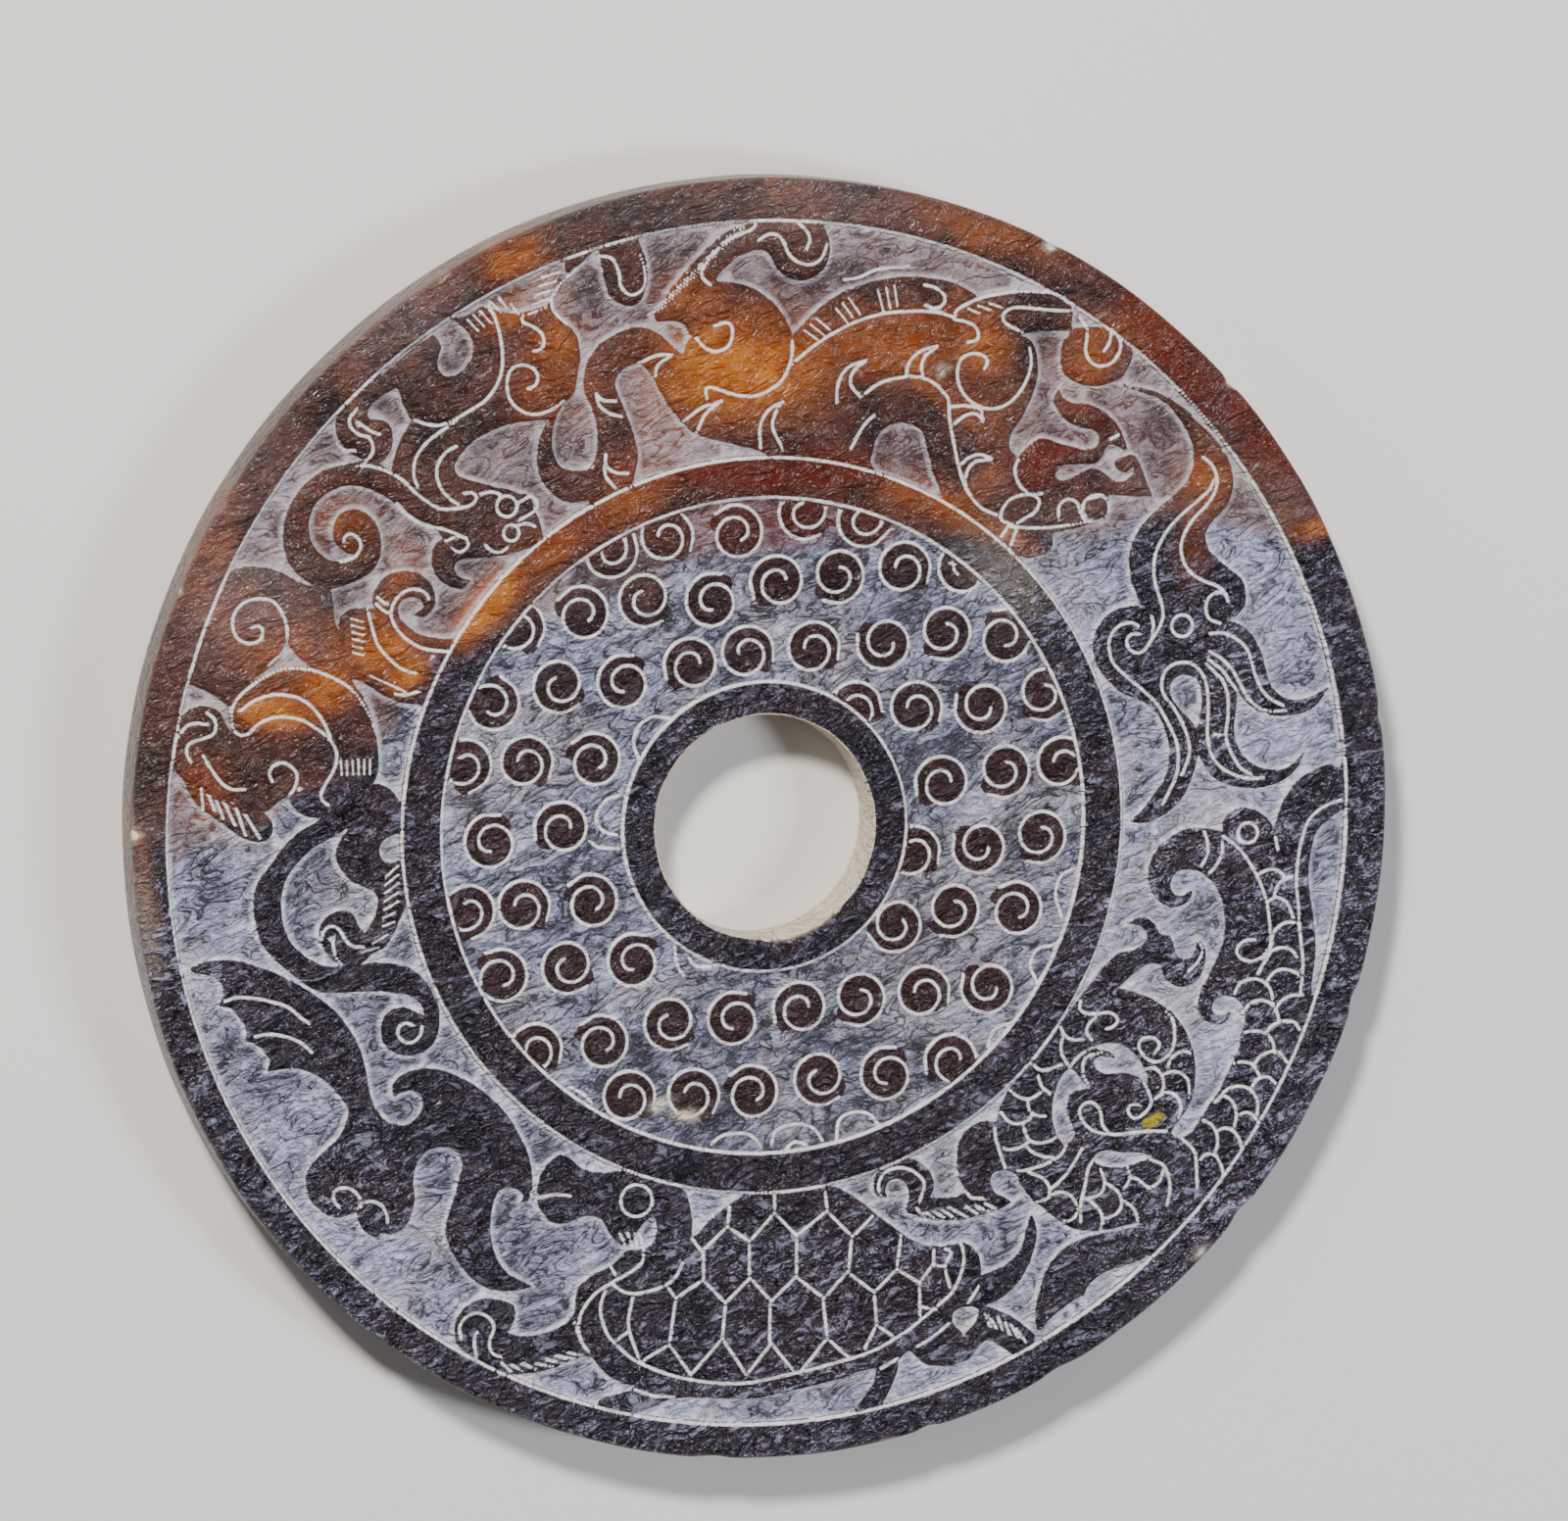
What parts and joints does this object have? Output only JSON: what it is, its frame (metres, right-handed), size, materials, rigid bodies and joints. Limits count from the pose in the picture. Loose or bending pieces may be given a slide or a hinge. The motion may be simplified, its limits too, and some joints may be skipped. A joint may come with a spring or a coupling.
{
  "type": "jade bi disc",
  "caption": "Flat jade disc with a round central hole, a rim of carved beasts in low relief and an inner band of raised curled grains.",
  "frame": {"origin": "middle of the outline's bounding box on the flat back, which is the underside", "axes": "+Z is the disc's axis, out of the carved face; +Y points to the tiger and -Y to the tortoise; +X is the right of the carved face"},
  "size_m": [0.1986, 0.1986, 0.01],
  "materials": {
    "jade": "satin"
  },
  "bodies": {
    "root": {"bi_disc": "jade"}
  },
  "joints": []
}
